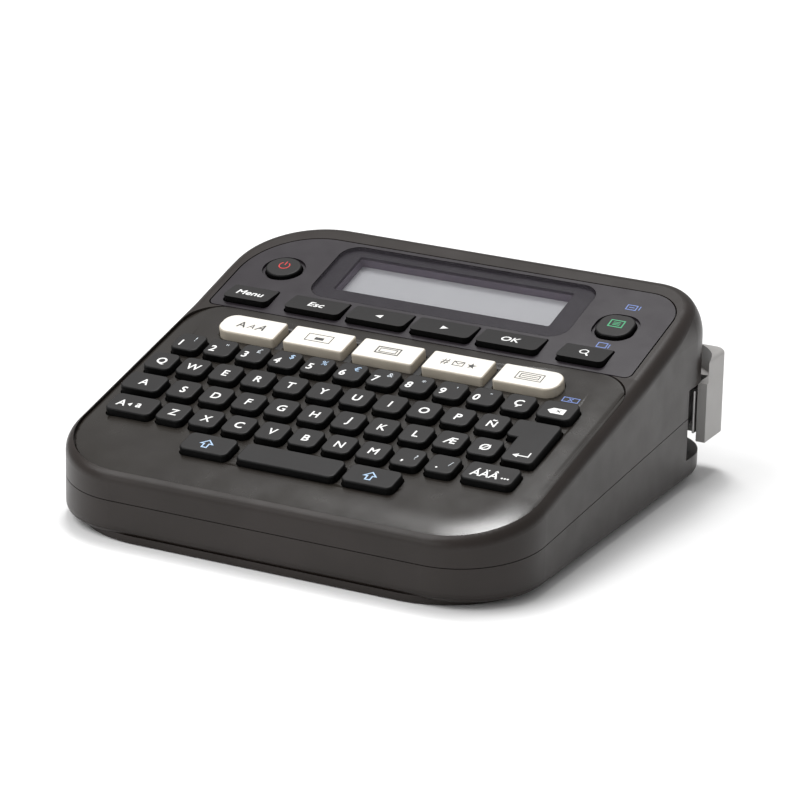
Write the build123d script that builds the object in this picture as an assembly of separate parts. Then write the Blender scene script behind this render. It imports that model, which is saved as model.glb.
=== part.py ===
from build123d import *
import math
import os

os.makedirs("parts", exist_ok=True)

# Desktop label maker. +X is the user's right, +Y points away from the user, +Z is up.
# The origin is under the middle of the machine, on the surface that the feet stand on. Millimetres.

# ---- body ----
HALF_WIDTH = 77.5
FRONT_Y = -75.5
REAR_Y = 73.5
FRONT_CORNER_R = 26.0
REAR_CORNER_R = 18.0
REAR_LEFT_R = 29.0
CASE_BOTTOM_Z = 1.5
CROWN_TOP_Z = 62.0
CROWN_R = 16.0
BASE_R = 3.5
INNER_BASE_R = 0.4
SHOULDER_R = 4.0
WALL = 2.4
GAP = 0.3
FAR = 100.0

# ---- top surfaces: keyboard slope in front of the seam, display slope behind it ----
KEY_SLOPE = 0.249
KEY_Z0 = 39.9
SEAM_Y = 17.5
DISPLAY_SLOPE = 0.30
SEAM_Z = KEY_Z0 + KEY_SLOPE * SEAM_Y
KEY_ANGLE = math.degrees(math.atan(KEY_SLOPE))
DISPLAY_ANGLE = math.degrees(math.atan(DISPLAY_SLOPE))
NORMAL_STRETCH = 1.035

# ---- parting line between the two case halves, rising to the rear ----
PART_Z_FRONT = 12.3
PART_SLOPE = 0.081
PART_GAP = 0.25

# ---- skirt under the front of the case, and the groove over it ----
SKIRT_HALF_WIDTH = 73.5
SKIRT_FRONT_Y = -75.1
SKIRT_R = 30.0
SKIRT_W = 3.0
SKIRT_Z = (0.3, 2.5)
SKIRT_END_Y = -56.0
GROOVE_Z = (3.3, 3.7)
GROOVE_DEPTH = 0.5
GROOVE_END_Y = -45.0

# ---- inlaid plates ----
PLATE_HALF_WIDTH = 74.8
PLATE_FRONT_Y = -73.2
PLATE_REAR_Y = 17.3
PLATE_FRONT_R = 24.0
PLATE_REAR_R = 12.0
PANEL_HALF_WIDTH = 71.8
PANEL_FRONT_Y = 17.7
PANEL_REAR_Y = 60.2
PANEL_REAR_R = 12.0
PANEL_REAR_LEFT_R = 23.0
PANEL_FRONT_R = 2.0
INLAY_T = 2.2
INLAY_GAP = 0.45
LEDGE_W = 2.5
LEDGE_T = 1.6

# ---- keys ----
KEY_TRAVEL = 1.2
KEY_GAP = 0.4
KEY_RISE = 2.3
FUNCTION_RISE = 3.0
FLANGE_TOP = -INLAY_T - 0.2
FLANGE_T = 0.9
FLANGE_OUT = 0.7
KEY_W = 9.3
KEY_D = 9.2
KEY_R = 2.0
KEY_EDGE_R = 0.6
KEY_PITCH = 11.18
ROW_PITCH = 12.0
NUMBER_ROW_Y = -8.2
FUNCTION_ROW_Y = 4.6
FUNCTION_W = 20.6
FUNCTION_D = 10.2
FUNCTION_PITCH = 23.65
FUNCTION_FIRST_X = -48.9
FUNCTION_COUNT = 5
FUNCTION_END_R = 4.2
FUNCTION_R = 0.9
ENTER_X = (51.9, 55.9, 66.3)
ENTER_R = 1.6
MEMBRANE_TOP = FLANGE_TOP - FLANGE_T - KEY_TRAVEL - 0.2
MEMBRANE_T = 0.8
BOARD_T = 1.6
FLANGE_ROOM = 6.0

# ---- display ----
LENS_X = (-44.5, 43.5)
LENS_Y = (30.6, 58.6)
LENS_R = 6.0
LENS_T = 1.2
LENS_GAP = 0.3
WINDOW_X = (-38.3, 36.0)
WINDOW_Y = (37.0, 55.4)
LCD_FRAME_T = 2.6
LCD_MODULE_T = 2.0
MAIN_BOARD_DROP = 7.0

# ---- upper keys: x from, x to ----
UPPER_KEYS = {
    "menu_key": (-68.0, -52.6),
    "escape_key": (-46.4, -27.4),
    "left_key": (-25.0, -5.0),
    "right_key": (-2.8, 17.2),
    "ok_key": (19.5, 39.9),
    "preview_key": (46.4, 61.8),
}
UPPER_KEY_Y = (20.0, 28.8)
UPPER_KEY_RISE = 2.3
UPPER_KEY_R = (1.8, 0.9)
POWER_AT = (-57.9, 41.0)
POWER_RX = 5.8
POWER_RY = 5.3
PRINT_AT = (56.8, 40.5)
PRINT_SIZE = 11.6
PRINT_R = 4.6
BUTTON_RISE = 0.9
BUTTON_RING = 1.3
BUTTON_RING_DEPTH = 0.8

# ---- corner notch, tape exit and cutter lever ----
NOTCH_FRONT_Y = 50.5
NOTCH_LEFT_X = 59.5
NOTCH_Z = (9.0, 31.7)
EXIT_X = (65.5, 73.2)
EXIT_Y = (50.9, 58.3)
EXIT_Z = (14.0, 31.0)
TAPE_Y = 55.5
TAPE_SLOT_W = 1.4
TAPE_SLOT_Z = (15.5, 29.0)
LEVER_RIGHT_X = 79.5
LEVER_REAR_Y = 75.5
LEVER_LEFT_X = 62.0
LEVER_FRONT_Y = 59.5
LEVER_CORNER_R = 4.0
LEVER_EDGE_R = 1.2
LEVER_WALL = 3.0
LEVER_Z = (12.5, 31.4, 38.8)
LEVER_SWING = 10.0
PIVOT = (44.0, 66.0)
PIN_R = 1.5
RUN = 0.06
HUB_R = 4.0
ARM_Y = (64.5, 67.5)
ARM_Z = (27.0, 31.0)
BLADE_T = 0.5
BLADE_X = 75.5
BLADE_Y = (58.6, 70.0)
BLADE_Z = (15.2, 28.8)
BLADE_BOSS_Y = (63.0, 69.0)
BLADE_BOSS_Z = (18.0, 26.0)

# ---- mechanism ----
CHASSIS_Z = (23.8, 25.2)
GEAR_Z = (26.0, 30.0)
MODULE = 0.6
IDLER_AT = (52.0, 32.0)
IDLER_TEETH = 40
PINION_TEETH = 12
DRIVEN_TEETH = 24
MESH_SLACK = 0.15
PINION_DIRECTION = -60.0
PLATEN_DIRECTION = 75.0
RIBBON_DIRECTION = 180.0
PLATEN_R = 4.5
MOTOR_R = 10.0

# ---- cassette, cells, underside ----
CASSETTE_X = (-56.5, 41.5)
CASSETTE_Y = (3.0, 58.5)
CASSETTE_Z = (5.0, 22.5)
CASSETTE_WALL = 1.2
TAPE_ROLL_AT = (-34.0, 31.0)
SUPPLY_AT = (0.0, 31.0)
REEL_Z = (7.0, 20.5)
CHASSIS_POSTS = [(-60.8, 5.0), (-60.8, 55.0), (46.5, 5.0)]
CHASSIS_POST_R = 1.6
CELL_R = 5.2
CELL_LENGTH = 44.0
CELL_PITCH = 10.8
CELL_COUNT = 6
CELL_FIRST_X = -51.0
CELL_Y = -38.0
CELL_Z = 9.8
COVER_X = (-58.5, 43.5)
COVER_Y = (-64.0, 60.5)
COVER_R = 6.0
COVER_T = 1.3
RIM_W = 2.0
GRIP_COUNT = 5
GRIP_PITCH = 2.2
GRIP_W = 1.0
GRIP_X = (-14.0, 0.0)
GRIP_DEPTH = 0.5
FEET = [(-66.0, -50.0), (66.0, -50.0), (-66.0, 54.0), (62.0, 50.0)]
FOOT_R = 4.5
SCREWS = [(-70.0, -22.0), (70.0, -22.0), (-70.0, 30.0), (70.0, 38.0)]
SCREW_R = 1.25
SCREW_HEAD_R = 2.6
POST_TOP_Z = 9.8
BOSS_Z = (10.2, 23.6)
JACK_AT = (-42.0, 15.0)
JACK_HOLE_R = 4.0
JACK_W = 11.0
JACK_FRONT_Y = 59.5
JACK_BORE_R = 2.8
JACK_PIN_R = 0.8

KEY_FACE = Plane(
    origin=(0, 0, KEY_Z0), x_dir=(1, 0, 0),
    z_dir=(0, -math.sin(math.radians(KEY_ANGLE)), math.cos(math.radians(KEY_ANGLE))))
DISPLAY_FACE = Plane(
    origin=(0, SEAM_Y, SEAM_Z), x_dir=(1, 0, 0),
    z_dir=(0, -math.sin(math.radians(DISPLAY_ANGLE)), math.cos(math.radians(DISPLAY_ANGLE))))


def save(shape, name):
    export_step(shape, f"parts/{name}.step")


def box(x, y, z):
    """Block between two values along each axis."""
    centre = Pos((x[0] + x[1]) / 2, (y[0] + y[1]) / 2, (z[0] + z[1]) / 2)
    return centre * Box(x[1] - x[0], y[1] - y[0], z[1] - z[0])


def rod(at, radius, z):
    """Upright cylinder at a point in plan, between two heights."""
    return Pos(at[0], at[1], (z[0] + z[1]) / 2) * Cylinder(radius, z[1] - z[0])


def rounded_plan(x, y, front_r, rear_r, rear_left_r=None):
    """Rectangle in plan with one corner radius in front and one behind; the rear left may differ."""
    sketch = make_face(Polyline((x[0], y[0]), (x[1], y[0]), (x[1], y[1]), (x[0], y[1]), close=True))
    middle = (y[0] + y[1]) / 2
    sketch = fillet([v for v in sketch.vertices() if v.Y < middle], front_r)
    rear_left = [v for v in sketch.vertices() if v.Y > y[1] - 0.01 and v.X < x[0] + 0.01]
    sketch = fillet(rear_left, rear_left_r or rear_r)
    return fillet([v for v in sketch.vertices() if v.Y > y[1] - 0.01 and v.X > x[1] - 0.01], rear_r)


def prism(sketch):
    """A plan outline carried through the full height of the machine."""
    return extrude(Pos(0, 0, -FAR / 2) * sketch, amount=2 * FAR)


# ---------------------------------------------------------------- body form

def below_top(drop):
    """Everything under the two top slopes, lowered square to them by drop."""
    seam_z = SEAM_Z - drop * NORMAL_STRETCH
    front_z = seam_z - KEY_SLOPE * (FAR + SEAM_Y)
    rear_z = seam_z + DISPLAY_SLOPE * (FAR - SEAM_Y)
    side = Polyline((-FAR, -FAR), (-FAR, front_z), (SEAM_Y, seam_z), (FAR, rear_z), (FAR, -FAR), close=True)
    return extrude(Plane.YZ * make_face(side), amount=FAR, both=True)


def below_parting(shift):
    """Everything under the parting plane, moved up by shift."""
    front_z = PART_Z_FRONT + shift + PART_SLOPE * (-FAR - FRONT_Y)
    rear_z = PART_Z_FRONT + shift + PART_SLOPE * (FAR - FRONT_Y)
    side = Polyline((-FAR, -FAR), (-FAR, front_z), (FAR, rear_z), (FAR, -FAR), close=True)
    return extrude(Plane.YZ * make_face(side), amount=FAR, both=True)


def body_form(inset):
    """The machine's closed outer form, made smaller all round by inset."""
    plan = rounded_plan(
        (-HALF_WIDTH + inset, HALF_WIDTH - inset), (FRONT_Y + inset, REAR_Y - inset),
        FRONT_CORNER_R - inset, REAR_CORNER_R - inset, REAR_LEFT_R - inset)
    height = CROWN_TOP_Z - CASE_BOTTOM_Z - 2 * inset
    form = extrude(Pos(0, 0, CASE_BOTTOM_Z + inset) * plan, amount=height)
    form = fillet(form.faces().sort_by(Axis.Z)[-1].edges(), CROWN_R - inset)
    form = fillet(form.faces().sort_by(Axis.Z)[0].edges(), max(BASE_R - inset, INNER_BASE_R))
    form = form & below_top(inset)
    shoulders = []
    for face in form.faces():
        normal = face.normal_at()
        if face.geom_type == GeomType.PLANE and normal.Z > 0.9 and normal.Y < -0.1:
            outer = [e for e in face.edges() if abs((e @ 0.5).Y - SEAM_Y) > 0.1 or abs((e @ 0.5).X) > 5]
            shoulders.extend(outer)
    return fillet(shoulders, SHOULDER_R - inset)


def plate_outline(grow):
    return rounded_plan(
        (-PLATE_HALF_WIDTH - grow, PLATE_HALF_WIDTH + grow), (PLATE_FRONT_Y - grow, PLATE_REAR_Y + grow),
        PLATE_FRONT_R + grow, PLATE_REAR_R + grow)


def panel_outline(grow):
    return rounded_plan(
        (-PANEL_HALF_WIDTH - grow, PANEL_HALF_WIDTH + grow), (PANEL_FRONT_Y - grow, PANEL_REAR_Y + grow),
        max(PANEL_FRONT_R + grow, 0.5), PANEL_REAR_R + grow, PANEL_REAR_LEFT_R + grow)


def notch():
    """The open corner at the rear right that the lever and the tape exit sit in."""
    return box((NOTCH_LEFT_X, FAR), (NOTCH_FRONT_Y, FAR), NOTCH_Z)


def make_top_case(outer, inner):
    shell = outer - inner
    for outline in (plate_outline, panel_outline):
        pocket = prism(outline(INLAY_GAP)) - below_top(INLAY_T + 0.1)
        hole = prism(outline(-LEDGE_W))
        ledge = (prism(outline(1.0)) & outer & below_top(INLAY_T + 0.1)) - below_top(INLAY_T + LEDGE_T)
        shell = shell - pocket
        shell = shell + (ledge - hole)
        shell = shell - hole
    for at in SCREWS:
        wall_x = math.copysign(HALF_WIDTH - WALL / 2, at[0])
        rib = box(tuple(sorted((at[0], wall_x))), (at[1] - 1.0, at[1] + 1.0), BOSS_Z)
        boss = rod(at, SCREW_HEAD_R + 1.0, BOSS_Z) + rib
        shell += boss - rod(at, SCREW_R + 0.05, (0, FAR))
    shell -= on_face(DISPLAY_FACE, lens_outline(-0.4), -FAR, -INLAY_T)
    for x in UPPER_KEYS.values():
        shell -= on_face(DISPLAY_FACE, upper_key(x)(FLANGE_OUT + 0.4), -FLANGE_ROOM, -INLAY_T)
    return shell - below_parting(PART_GAP) - notch()


def bottom_opening(grow, z):
    outline = rounded_plan(
        (COVER_X[0] - grow, COVER_X[1] + grow), (COVER_Y[0] - grow, COVER_Y[1] + grow),
        COVER_R + grow, COVER_R + grow)
    return extrude(Pos(0, 0, z[0]) * outline, amount=z[1] - z[0])


def front_skirt():
    """Low wall under the front edge and round the front corners."""
    wall = rounded_plan((-SKIRT_HALF_WIDTH, SKIRT_HALF_WIDTH), (SKIRT_FRONT_Y, 0), SKIRT_R, 1.0)
    inside = rounded_plan(
        (-SKIRT_HALF_WIDTH + SKIRT_W, SKIRT_HALF_WIDTH - SKIRT_W), (SKIRT_FRONT_Y + SKIRT_W, 0),
        SKIRT_R - SKIRT_W, 1.0)
    return (prism(wall) - prism(inside)) & box((-FAR, FAR), (-FAR, SKIRT_END_Y), SKIRT_Z)


def front_groove():
    """Shadow line round the front of the case, over the skirt."""
    around = rounded_plan((-FAR, FAR), (-FAR, REAR_Y), 1.0, 1.0)
    plan = rounded_plan(
        (-HALF_WIDTH + GROOVE_DEPTH, HALF_WIDTH - GROOVE_DEPTH), (FRONT_Y + GROOVE_DEPTH, REAR_Y),
        FRONT_CORNER_R - GROOVE_DEPTH, REAR_CORNER_R)
    return (prism(around) - prism(plan)) & box((-FAR, FAR), (-FAR, GROOVE_END_Y), GROOVE_Z)


def make_bottom_case(outer, inner):
    floor_top = CASE_BOTTOM_Z + WALL
    shell = (outer - inner) & below_parting(0)
    shell += front_skirt()
    shell -= front_groove()
    shell -= bottom_opening(GAP, (0, CASE_BOTTOM_Z + COVER_T + 0.1))
    shell -= bottom_opening(-RIM_W, (0, floor_top + 1))
    for at in SCREWS:
        shell += rod(at, SCREW_HEAD_R + 1.0, (CASE_BOTTOM_Z + 0.5, POST_TOP_Z)) & outer
        shell -= rod(at, SCREW_HEAD_R + 0.3, (0, 5.0))
        shell -= rod(at, SCREW_R + 0.2, (0, POST_TOP_Z + 1.0))
    jack_hole = Pos(JACK_AT[0], REAR_Y, JACK_AT[1]) * Rot(90, 0, 0) * Cylinder(JACK_HOLE_R, 12)
    return shell - jack_hole - notch()


def make_back_cover():
    plate = bottom_opening(0, (CASE_BOTTOM_Z, CASE_BOTTOM_Z + COVER_T))
    grips = Part()
    for step in range(GRIP_COUNT):
        y = COVER_Y[0] + GRIP_PITCH * (step + 2)
        grips += box(GRIP_X, (y, y + GRIP_W), (0, CASE_BOTTOM_Z + GRIP_DEPTH))
    return plate - grips


def make_feet():
    return Compound([rod(at, FOOT_R, (0, CASE_BOTTOM_Z)) for at in FEET])


def make_screws():
    screws = []
    for at in SCREWS:
        head = rod(at, SCREW_HEAD_R, (3.0, 5.0)) - rod(at, 1.0, (2.5, 4.0))
        screws.append(head + rod(at, SCREW_R, (5.0, 20.0)))
    return Compound(screws)


# ---------------------------------------------------------------- inlaid plates and keys

def on_face(face, sketch, low, high):
    """A flat outline on a sloping face, carried from low to high along its normal."""
    return extrude(face * (Pos(0, 0, low) * sketch), amount=high - low)


def key_v(y):
    """Distance up the keyboard slope of a key whose top is over plan position y."""
    return y / math.cos(math.radians(KEY_ANGLE)) + KEY_RISE * math.sin(math.radians(KEY_ANGLE))


def display_v(y):
    """Distance up the display slope of a plan position y."""
    return (y - SEAM_Y) / math.cos(math.radians(DISPLAY_ANGLE))


def row_y(row):
    return NUMBER_ROW_Y - ROW_PITCH * row


def key_outline(x, v, w, d, r, grow=0.0):
    return Pos(x, v) * RectangleRounded(w + 2 * grow, d + 2 * grow, r + grow)


def cap(face, outline, rise, edge=KEY_EDGE_R):
    """A key: a cap through the plate and a flange under it that keeps it in. outline(grow) is its plan."""
    body = on_face(face, outline(0), FLANGE_TOP, rise)
    tops = body.faces().sort_by(lambda f: (f.center() - face.origin).dot(face.z_dir))[-1]
    body = fillet(tops.edges(), edge)
    return body + on_face(face, outline(FLANGE_OUT), FLANGE_TOP - FLANGE_T, FLANGE_TOP)


def plain_key(x, y, w=KEY_W, d=KEY_D):
    def outline(grow):
        return key_outline(x, key_v(y), w, d, KEY_R, grow)
    return outline


def row_keys(first_x, count, row):
    return [plain_key(first_x + KEY_PITCH * n, row_y(row)) for n in range(count)]


def function_key(index):
    """One of the five wide keys; the first has a round left end and the last a round right end."""
    x = FUNCTION_FIRST_X + FUNCTION_PITCH * index

    def outline(grow):
        half_w = FUNCTION_W / 2 + grow
        half_d = FUNCTION_D / 2 + grow
        sketch = Pos(x, key_v(FUNCTION_ROW_Y)) * Rectangle(2 * half_w, 2 * half_d)
        left_r = FUNCTION_END_R if index == 0 else FUNCTION_R
        right_r = FUNCTION_END_R if index == FUNCTION_COUNT - 1 else FUNCTION_R
        sketch = fillet([v for v in sketch.vertices() if v.X < x], left_r + grow)
        return fillet([v for v in sketch.vertices() if v.X > x + half_w - 0.01], right_r + grow)
    return outline


def enter_outline(grow):
    """Tall key beside two rows, with its front part set in on the left."""
    left = ENTER_X[0] - grow
    inner_left = ENTER_X[1] - grow
    right = ENTER_X[2] + grow
    back = key_v(row_y(1)) + KEY_D / 2 + grow
    step = key_v(row_y(1)) - KEY_D / 2 - grow
    front = key_v(row_y(2)) - KEY_D / 2 - grow
    sketch = make_face(Polyline(
        (left, back), (right, back), (right, front), (inner_left, front),
        (inner_left, step), (left, step), close=True))
    corners = [v for v in sketch.vertices() if abs(v.X - inner_left) > 0.1 or abs(v.Y - step) > 0.1]
    return fillet(corners, ENTER_R)


def upper_key(x):
    """Plan of a key in the row in front of the display."""
    v = (display_v(UPPER_KEY_Y[0]), display_v(UPPER_KEY_Y[1]))

    def outline(grow):
        return rounded_plan((x[0] - grow, x[1] + grow), (v[0] - grow, v[1] + grow), *UPPER_KEY_R)
    return outline


def upper_cap(outline):
    """Wedge key: flush with the panel at its back edge and proud of it in front."""
    v = (display_v(UPPER_KEY_Y[0]), display_v(UPPER_KEY_Y[1]))
    body = on_face(DISPLAY_FACE, outline(0), FLANGE_TOP, UPPER_KEY_RISE)
    slant = make_face(Polyline(
        (v[0] - 1, UPPER_KEY_RISE - 0.1), (v[1] + 1, 0.1), (v[1] + 1, 9), (v[0] - 1, 9), close=True))
    cutter = extrude(Plane.YZ * slant, amount=FAR, both=True)
    body -= DISPLAY_FACE.location * cutter
    return body + on_face(DISPLAY_FACE, outline(FLANGE_OUT), FLANGE_TOP - FLANGE_T, FLANGE_TOP)


def power_outline(grow):
    return Pos(POWER_AT[0], display_v(POWER_AT[1])) * Ellipse(POWER_RX + grow, POWER_RY + grow)


def print_outline(grow):
    size = PRINT_SIZE + 2 * grow
    return Pos(PRINT_AT[0], display_v(PRINT_AT[1])) * RectangleRounded(size, size, PRINT_R + grow)


KEY_ROWS = {
    "number_row_keys": row_keys(-63.54, 11, 0),
    "upper_letter_keys": row_keys(-66.07, 11, 1),
    "home_letter_keys": row_keys(-51.26, 10, 2) + [plain_key(-64.9, row_y(2), w=13.2)],
    "lower_letter_keys": row_keys(-47.64, 9, 3),
}

SINGLE_KEYS = {
    "backspace_key": plain_key(60.9, row_y(0), w=11.4),
    "enter_key": enter_outline,
    "caps_key": plain_key(-61.6, row_y(3), w=15.6),
    "accent_key": plain_key(57.2, row_y(3), w=16.4),
    "left_shift_key": plain_key(-28.8, row_y(4), w=16.2),
    "space_key": plain_key(-1.4, row_y(4), w=32.6),
    "right_shift_key": plain_key(25.2, row_y(4), w=16.6),
}

FUNCTION_KEYS = {
    "style_key": function_key(0),
    "layout_key": function_key(1),
    "frame_key": function_key(2),
    "symbol_key": function_key(3),
    "label_type_key": function_key(4),
}


def make_keyboard_plate(outer):
    plate = (outer & prism(plate_outline(0))) - below_top(INLAY_T)
    outlines = list(SINGLE_KEYS.values()) + list(FUNCTION_KEYS.values())
    for row in KEY_ROWS.values():
        outlines += row
    openings = [on_face(KEY_FACE, outline(KEY_GAP), -INLAY_T - 2, 3) for outline in outlines]
    return plate - openings


def lens_outline(grow):
    v = (display_v(LENS_Y[0]) - grow, display_v(LENS_Y[1]) + grow)
    return rounded_plan((LENS_X[0] - grow, LENS_X[1] + grow), v, LENS_R + grow, LENS_R + grow)


def window_outline(grow):
    v = (display_v(WINDOW_Y[0]) - grow, display_v(WINDOW_Y[1]) + grow)
    return rounded_plan((WINDOW_X[0] - grow, WINDOW_X[1] + grow), v, 0.6, 0.6)


def make_display_panel(outer):
    panel = (outer & prism(panel_outline(0))) - below_top(INLAY_T)
    panel -= on_face(DISPLAY_FACE, lens_outline(LENS_GAP), -LENS_T - 0.05, 3)
    panel -= on_face(DISPLAY_FACE, lens_outline(-1.5), -INLAY_T - 2, 3)
    for x in UPPER_KEYS.values():
        panel -= on_face(DISPLAY_FACE, upper_key(x)(KEY_GAP), -INLAY_T - 2, 3)
    for outline in (power_outline, print_outline):
        panel -= on_face(DISPLAY_FACE, outline(KEY_GAP), -INLAY_T - 2, 3)
        panel -= on_face(DISPLAY_FACE, outline(BUTTON_RING), -BUTTON_RING_DEPTH, 3)
    return panel


def make_lcd_lens():
    return on_face(DISPLAY_FACE, lens_outline(0), -LENS_T, 0)


def make_lcd_frame():
    top = -INLAY_T - 0.1
    frame = on_face(DISPLAY_FACE, lens_outline(-0.8), top - LCD_FRAME_T, top)
    return frame - on_face(DISPLAY_FACE, window_outline(0), top - LCD_FRAME_T - 1, 1)


def make_lcd_module():
    top = -INLAY_T - 0.1 - LCD_FRAME_T - 0.1
    return on_face(DISPLAY_FACE, window_outline(2.0), top - LCD_MODULE_T + 0.4, top)


def make_keypad_membrane():
    return (prism(plate_outline(-4.0)) & below_top(-MEMBRANE_TOP)) - below_top(-MEMBRANE_TOP + MEMBRANE_T)


def make_key_board():
    top = -MEMBRANE_TOP + MEMBRANE_T + 0.1
    return (prism(plate_outline(-4.5)) & below_top(top)) - below_top(top + BOARD_T)


def make_panel_membrane():
    sheet = (prism(panel_outline(-3.5)) & below_top(-MEMBRANE_TOP)) - below_top(-MEMBRANE_TOP + MEMBRANE_T)
    return sheet - box((LENS_X[0] - 1, LENS_X[1] + 1), (LENS_Y[0] + 1.0, FAR), (0, FAR))


def make_main_board():
    return (prism(panel_outline(-4.0)) & below_top(MAIN_BOARD_DROP)) - below_top(MAIN_BOARD_DROP + BOARD_T)


def make_flat_cable():
    """Flat cable from the main board forwards to the key board, hanging under both."""
    y_board = 13.0
    y_main = 24.0
    z_board = KEY_Z0 + KEY_SLOPE * y_board - 8.6
    z_main = SEAM_Z + DISPLAY_SLOPE * (y_main - SEAM_Y) - 9.6
    side = Polyline(
        (y_board, z_board), (y_main, z_main), (y_main, z_main - 0.4), (y_board, z_board - 0.4), close=True)
    return extrude(Plane.YZ * make_face(side), amount=12, both=True)


# ---------------------------------------------------------------- tape exit, lever, blade

def make_tape_exit_frame():
    frame = box(EXIT_X, EXIT_Y, EXIT_Z)
    edges = [e for e in frame.edges().filter_by(Axis.Z) if (e @ 0.5).X > EXIT_X[1] - 0.1]
    frame = fillet(edges, 1.2)
    slot_y = (TAPE_Y - TAPE_SLOT_W / 2, TAPE_Y + TAPE_SLOT_W / 2)
    slot = box((EXIT_X[0] - 1, EXIT_X[1] + 1), slot_y, TAPE_SLOT_Z)
    return frame - slot


def lever_block(z):
    outline = make_face(Polyline(
        (LEVER_LEFT_X, LEVER_FRONT_Y), (LEVER_RIGHT_X, LEVER_FRONT_Y), (LEVER_RIGHT_X, LEVER_REAR_Y),
        (LEVER_LEFT_X, LEVER_REAR_Y), close=True))
    corner = [v for v in outline.vertices() if v.X > LEVER_RIGHT_X - 0.1 and v.Y > LEVER_REAR_Y - 0.1]
    outline = fillet(corner, LEVER_CORNER_R)
    return extrude(Pos(0, 0, z[0]) * outline, amount=z[1] - z[0])


def body_seen_from_lever(angle):
    """The case's plan turned about the pivot, as it lies against the lever after a swing of angle."""
    plan = prism(rounded_plan((-HALF_WIDTH - 0.5, HALF_WIDTH + 0.5), (FRONT_Y, REAR_Y + 0.5),
                              FRONT_CORNER_R, REAR_CORNER_R + 0.5))
    turn = Pos(PIVOT[0], PIVOT[1], 0) * Rot(0, 0, angle) * Pos(-PIVOT[0], -PIVOT[1], 0)
    return turn * plan


def make_cutter_lever():
    upper = lever_block((LEVER_Z[1], LEVER_Z[2]))
    upper = fillet(upper.faces().sort_by(Axis.Z)[-1].edges(), LEVER_EDGE_R)
    steps = 5
    for step in range(steps + 1):
        upper -= body_seen_from_lever(LEVER_SWING * step / steps)
    lower = lever_block((LEVER_Z[0], LEVER_Z[1]))
    hollow = box((0, LEVER_RIGHT_X - LEVER_WALL), (0, LEVER_REAR_Y - LEVER_WALL),
                 (LEVER_Z[0] + 2.0, LEVER_Z[1] - 2.0))
    lower -= hollow
    trim = box((0, 70.0), (0, LEVER_REAR_Y - LEVER_WALL), (0, FAR))
    lower -= trim
    lower -= box((0, LEVER_RIGHT_X - LEVER_WALL), (0, LEVER_REAR_Y - 8.0), (0, FAR))
    arm = box((PIVOT[0], 66.0), ARM_Y, ARM_Z)
    web = box((62.0, 66.0), (ARM_Y[0], LEVER_REAR_Y - 1.0), ARM_Z)
    hub = rod(PIVOT, HUB_R, ARM_Z)
    lever = upper + lower + arm + web + hub
    return lever - rod(PIVOT, PIN_R + RUN, (0, FAR))


def make_cutter_blade():
    plate = box((BLADE_X, BLADE_X + BLADE_T), BLADE_Y, BLADE_Z)
    boss = box((BLADE_X + BLADE_T, LEVER_RIGHT_X - LEVER_WALL), BLADE_BOSS_Y, BLADE_BOSS_Z)
    front_edges = [e for e in plate.edges().filter_by(Axis.Z) if (e @ 0.5).Y < BLADE_Y[0] + 0.1]
    edge = [e for e in front_edges if (e @ 0.5).X > BLADE_X + 0.1]
    return chamfer(edge, 0.3) + boss


def make_lever_pin():
    return rod(PIVOT, PIN_R, (CHASSIS_Z[0], 37.5))


def make_lever_spring():
    """Torsion spring: close turns of wire round the pin above the lever's hub."""
    wire = 0.5
    coil_r = 3.0
    low_z = ARM_Z[1] + 0.8
    spring = Part()
    for turn in range(5):
        spring += Pos(PIVOT[0], PIVOT[1], low_z + 0.8 * turn) * Torus(coil_r, wire)
    leg = Pos(PIVOT[0] - 5.0, PIVOT[1] + coil_r - 0.15, low_z + 0.1) * Rot(0, 90, 0) * Cylinder(wire, 12.0)
    return spring + leg


# ---------------------------------------------------------------- mechanism

def beside(at, direction, distance):
    angle = math.radians(direction)
    return (at[0] + distance * math.cos(angle), at[1] + distance * math.sin(angle))


def mesh_distance(teeth_a, teeth_b):
    return MODULE * (teeth_a + teeth_b) / 2 + MESH_SLACK


PINION_AT = beside(IDLER_AT, PINION_DIRECTION, mesh_distance(IDLER_TEETH, PINION_TEETH))
PLATEN_AT = beside(IDLER_AT, PLATEN_DIRECTION, mesh_distance(IDLER_TEETH, DRIVEN_TEETH))
RIBBON_AT = beside(IDLER_AT, RIBBON_DIRECTION, mesh_distance(IDLER_TEETH, DRIVEN_TEETH))


def meshed_phase(direction, teeth):
    """Start angle that puts this gear's teeth in the idler's gaps, for a gear in that direction."""
    idler_pitch = 360.0 / IDLER_TEETH
    pitch = 360.0 / teeth
    idler_share = (direction % idler_pitch) / idler_pitch
    return direction + 180.0 - pitch * (0.5 - idler_share)


def gear(at, teeth, phase, bore):
    """Spur gear with straight-sided teeth and free backlash, in the gear layer."""
    pitch_r = MODULE * teeth / 2
    tip_r = pitch_r + 0.8 * MODULE
    root_r = pitch_r - 1.15 * MODULE
    tooth = 360.0 / teeth
    points = []
    for n in range(teeth):
        middle = phase + n * tooth
        for offset, radius in ((-0.30, root_r), (-0.11, tip_r), (0.11, tip_r), (0.30, root_r)):
            angle = math.radians(middle + offset * tooth)
            points.append((at[0] + radius * math.cos(angle), at[1] + radius * math.sin(angle)))
    outline = make_face(Polyline(*points, close=True))
    body = extrude(Pos(0, 0, GEAR_Z[0]) * outline, amount=GEAR_Z[1] - GEAR_Z[0])
    return body - rod(at, bore, (0, FAR)) if bore else body


def make_idler_gear():
    body = gear(IDLER_AT, IDLER_TEETH, 0.0, PIN_R + RUN)
    return body - (rod(IDLER_AT, 9.0, (GEAR_Z[1] - 1.2, FAR)) - rod(IDLER_AT, 3.5, (0, FAR)))


def make_motor_pinion():
    return gear(PINION_AT, PINION_TEETH, meshed_phase(PINION_DIRECTION, PINION_TEETH), 0) + rod(
        PINION_AT, 1.0, (12.0, GEAR_Z[0]))


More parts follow.
